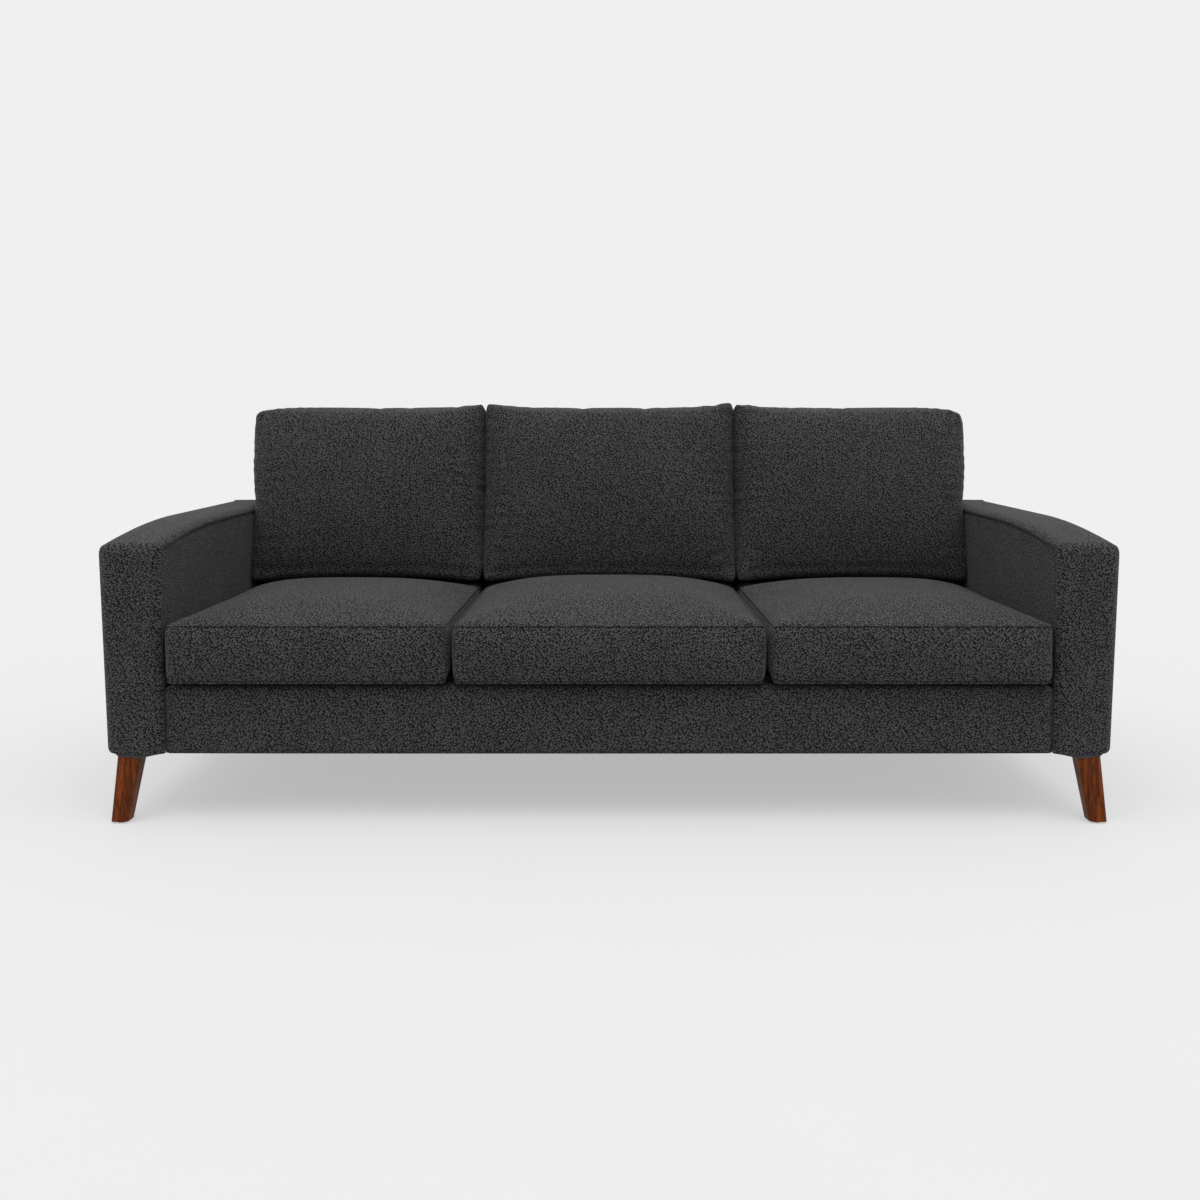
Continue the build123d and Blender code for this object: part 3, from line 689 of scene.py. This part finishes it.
def charcoal_weave():
    """Charcoal tweed: light floats of yarn over a dark ground, with a soft fuzz."""
    material, n, shader = new_material(
        "charcoal_weave", Roughness=0.95, Sheen_Weight=0.06, Sheen_Roughness=0.5,
        Specular_IOR_Level=0.15,
    )
    place, height, shade = box_mapped(n, weave_group())
    fibre = n.noise(place, 900.0, 2.0)
    mottle = n.noise(place, 9.0, 3.0)
    tone = n.math("ADD", n.fit(shade, 0.0, 1.0, -0.22, 0.22), n.fit(fibre, 0.3, 0.7, -0.12, 0.12))
    tone = n.math("ADD", tone, n.fit(mottle, 0.3, 0.7, -0.04, 0.04))
    tone = n.math("ADD", tone, n.fit(height, 0.0, 1.0, -0.2, 0.82))
    yarn = n.mix(n.fit(tone, -0.1, 1.0), DARK_YARN, LIGHT_YARN)
    n.tree.links.new(yarn, shader.inputs["Base Color"])
    relief = n.math("ADD", height, n.math("MULTIPLY", fibre, 0.35))
    n.tree.links.new(n.bump(relief, 0.55, 0.0012), shader.inputs["Normal"])
    return material


def wood(name, dark, light, gloss, shine):
    """Wood with its grain along Z: broad figure and fine pores, under a thin coat."""
    material, n, shader = new_material(
        name, Coat_Weight=gloss, Coat_Roughness=0.3, Specular_IOR_Level=shine
    )
    place = n.node("ShaderNodeTexCoord").outputs["Object"]
    figure = n.noise(n.vector("MULTIPLY", place, (55, 55, 5)), 1.0, 4.0, 0.6)
    pores = n.noise(n.vector("MULTIPLY", place, (700, 700, 26)), 1.0, 2.0)
    streak = n.math("SINE", n.math("MULTIPLY", figure, 22.0))
    tone = n.math("ADD", n.fit(streak, -1.0, 1.0, 0.2, 0.75), n.fit(pores, 0.3, 0.7, -0.25, 0.2))
    n.tree.links.new(n.mix(tone, dark, light), shader.inputs["Base Color"])
    n.tree.links.new(n.fit(pores, 0.3, 0.7, 0.5, 0.36), shader.inputs["Roughness"])
    n.tree.links.new(n.bump(pores, 0.25, 0.0003), shader.inputs["Normal"])
    return material


def metal(name, colour, roughness, metallic=1.0):
    """Metal with a fine mottled finish and slight wear."""
    material, n, shader = new_material(name, Metallic=metallic)
    place = n.node("ShaderNodeTexCoord").outputs["Object"]
    grain = n.noise(place, 900.0, 2.0)
    wear = n.noise(place, 40.0, 4.0)
    pale = tuple(min(1, c * 1.6 + 0.01) for c in colour[:3]) + (1,)
    n.tree.links.new(n.mix(n.fit(wear, 0.4, 0.75), colour, pale), shader.inputs["Base Color"])
    n.tree.links.new(
        n.fit(wear, 0.3, 0.7, roughness - 0.08, roughness + 0.1), shader.inputs["Roughness"]
    )
    n.tree.links.new(n.bump(grain, 0.15, 0.0002), shader.inputs["Normal"])
    return material


def cloth(name, colour, thread):
    """A plain fine cloth or fibre."""
    material, n, shader = new_material(name, Roughness=0.92, Sheen_Weight=0.1)
    place = n.node("ShaderNodeTexCoord").outputs["Object"]
    threads = n.node("ShaderNodeTexVoronoi", {"Vector": place, "Scale": 1 / thread}).outputs[0]
    mottle = n.noise(place, 14.0, 3.0)
    dark = tuple(c * 0.62 for c in colour[:3]) + (1,)
    tone = n.math("ADD", n.fit(mottle, 0.3, 0.7, 0.35, 0.75), n.math("MULTIPLY", threads, -0.3))
    n.tree.links.new(n.mix(tone, dark, colour), shader.inputs["Base Color"])
    n.tree.links.new(n.bump(threads, 0.4, 0.0005), shader.inputs["Normal"])
    return material


def finish_cad_nodes(weave):
    """Gives every CAD node the material of its slot in the record."""
    by_slot = {
        "charcoal_weave": weave,
        "walnut": wood("walnut", (0.03, 0.005, 0.0006, 1), (0.19, 0.04, 0.002, 1), 0.04, 0.1),
        "frame_wood": wood("frame_wood", (0.3, 0.19, 0.1, 1), (0.6, 0.44, 0.27, 1), 0.0, 0.3),
        "black_metal": metal("black_metal", (0.012, 0.012, 0.013, 1), 0.5, 0.2),
        "zinc_steel": metal("zinc_steel", (0.5, 0.5, 0.52, 1), 0.35),
        "spring_steel": metal("spring_steel", (0.2, 0.2, 0.21, 1), 0.4),
        "zip_metal": metal("zip_metal", (0.25, 0.25, 0.26, 1), 0.3),
        "glide_plastic": cloth("glide_plastic", (0.03, 0.03, 0.03, 1), 0.002),
        "webbing": cloth("webbing", (0.25, 0.19, 0.12, 1), 0.002),
        "dust_cloth": cloth("dust_cloth", (0.012, 0.012, 0.013, 1), 0.0015),
        "cushion_filling": cloth("cushion_filling", (0.75, 0.72, 0.65, 1), 0.003),
        "zip_tape": cloth("zip_tape", (0.025, 0.025, 0.028, 1), 0.0012),
    }
    slots = {part["node"]: part["material_slot"] for part in frame["record"]["subparts"]}
    for node, piece in frame["nodes"].items():
        piece.data.materials.clear()
        piece.data.materials.append(by_slot[slots[node]])


# ---- studio ----


def studio():
    """A pale floor, soft light from above and both sides, and the camera."""
    floor()
    world = bpy.data.worlds.new("studio")
    scene.world = world
    world.use_nodes = True
    sky = world.node_tree.nodes["Background"]
    sky.inputs[0].default_value = (1, 1, 1, 1)
    sky.inputs[1].default_value = SKY_STRENGTH
    for name, strength, elevation, azimuth in SUNS:
        sun = bpy.data.lights.new(name, "SUN")
        sun.energy = strength
        sun.angle = SUN_WIDTH
        light = bpy.data.objects.new(name, sun)
        light.rotation_euler = (math.radians(90 - elevation), 0, math.radians(azimuth))
        scene.collection.objects.link(light)
    camera()
    scene.view_settings.view_transform = "Standard"


def floor():
    """A wide pale floor."""
    mesh = bpy.data.meshes.new("floor")
    corners = [(x * FLOOR_REACH, y * FLOOR_REACH, 0) for x, y in ((-1, -1), (1, -1), (1, 1), (-1, 1))]
    mesh.from_pydata(corners, [], [(0, 1, 2, 3)])
    piece = bpy.data.objects.new("floor", mesh)
    scene.collection.objects.link(piece)
    material, n, shader = new_material("pale_floor", Roughness=1.0, Specular_IOR_Level=0.0)
    place = n.node("ShaderNodeTexCoord").outputs["Object"]
    low, high = ((FLOOR_SHADE + change,) * 3 + (1,) for change in (-FLOOR_MOTTLE, FLOOR_MOTTLE))
    n.tree.links.new(n.mix(n.noise(place, 3.0), low, high), shader.inputs["Base Color"])
    shader.inputs["Emission Color"].default_value = (1, 1, 1, 1)
    shader.inputs["Emission Strength"].default_value = FLOOR_GLOW
    mesh.materials.append(material)


def camera():
    """Looks at the sofa from in front, a little downwards."""
    data = bpy.data.cameras.new("camera")
    data.lens = CAMERA_LENS
    data.sensor_width = CAMERA_SENSOR
    data.shift_x, data.shift_y = CAMERA_SHIFT
    piece = bpy.data.objects.new("camera", data)
    arm_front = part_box("arm_band_left")[0][1]
    piece.location = (0, arm_front - CAMERA_DISTANCE, CAMERA_HEIGHT)
    piece.rotation_euler = (math.pi / 2 - CAMERA_PITCH, 0, 0)
    scene.collection.objects.link(piece)
    scene.camera = piece


# ---- the sofa ----

fabric = charcoal_weave()
finish_cad_nodes(fabric)
for name in PLACES:
    seat_cushion(name, fabric)
    back_cushion(name, fabric)
for name in SIDES:
    arm_pieces(name, fabric)
rail_cover(fabric)
inside_back(fabric)
outside_back(fabric)
seat_deck(fabric)
studio()
